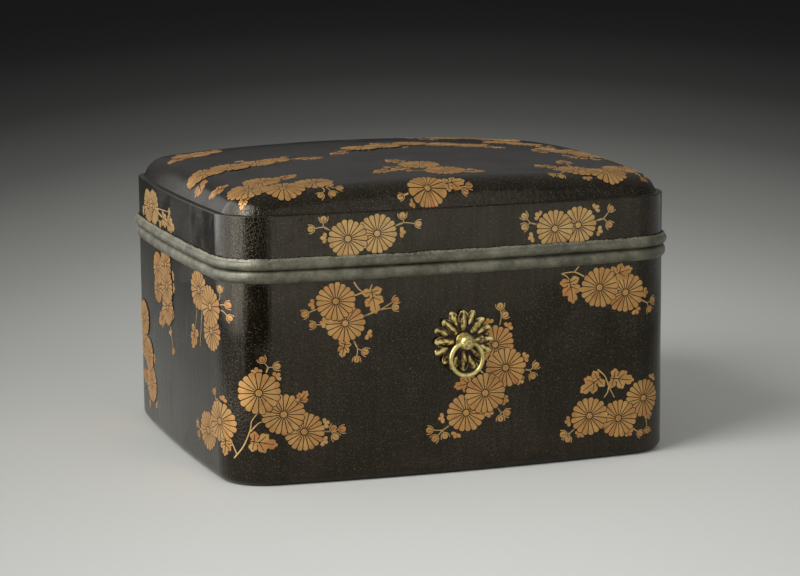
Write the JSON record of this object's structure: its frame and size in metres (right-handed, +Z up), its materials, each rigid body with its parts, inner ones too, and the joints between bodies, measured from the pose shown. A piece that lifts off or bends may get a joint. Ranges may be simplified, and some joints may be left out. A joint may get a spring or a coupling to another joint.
{
  "type": "cosmetic box",
  "caption": "Lacquered cosmetic box with bowed sides, a lift-off crowned lid, metal rims at the seam, a hanging tray inside and a ring fitting on each long side.",
  "frame": {"origin": "middle of the underside of the box", "axes": "+X along the long side, +Y from the front fitting to the back fitting, +Z up"},
  "size_m": [0.267, 0.2528, 0.1634],
  "materials": {
    "lacquered_wood": "aged brown-black lacquer on thin bent wood, satin gloss with fine crackle and sprinkled gold",
    "rim_metal": "soft grey-green oxidised pewter or lead sheet, dull and slightly pitted",
    "rosette_brass": "dark patinated brass, bright on the raised petals",
    "ring_brass": "pale brass, rubbed bright"
  },
  "bodies": {
    "box": {"body_wall": "lacquered_wood", "body_floor": "lacquered_wood", "body_rim": "rim_metal", "front_rosette_lower": "rosette_brass", "front_rosette_upper": "rosette_brass", "front_collar": "rosette_brass", "front_washer": "ring_brass", "front_ring_post": "ring_brass", "back_rosette_lower": "rosette_brass", "back_rosette_upper": "rosette_brass", "back_collar": "rosette_brass", "back_washer": "ring_brass", "back_ring_post": "ring_brass"},
    "lid": {"lid_wall": "lacquered_wood", "lid_crown": "lacquered_wood", "lid_rim": "rim_metal"},
    "tray": {"tray_wall": "lacquered_wood", "tray_floor": "lacquered_wood", "tray_rim": "rim_metal"},
    "front_ring": {"front_ring": "ring_brass"},
    "back_ring": {"back_ring": "ring_brass"}
  },
  "joints": [
    {"name": "lid_lift", "type": "slide", "parent": "box", "child": "lid", "axis": [0, 0, 1], "range_m": [0, 0.12]},
    {"name": "tray_lift", "type": "slide", "parent": "box", "child": "tray", "axis": [0, 0, 1], "range_m": [0, 0.06]},
    {"name": "front_ring_swing", "type": "hinge", "parent": "box", "child": "front_ring", "pos_m": [0, -0.1222, 0.073], "axis": [-1, 0, 0], "range_deg": [-8, 188]},
    {"name": "back_ring_swing", "type": "hinge", "parent": "box", "child": "back_ring", "pos_m": [0, 0.1222, 0.073], "axis": [1, 0, 0], "range_deg": [-8, 188]}
  ],
  "couplings": [
    {"joint": "tray_lift", "follows": "lid_lift", "ratio": 0.5}
  ]
}
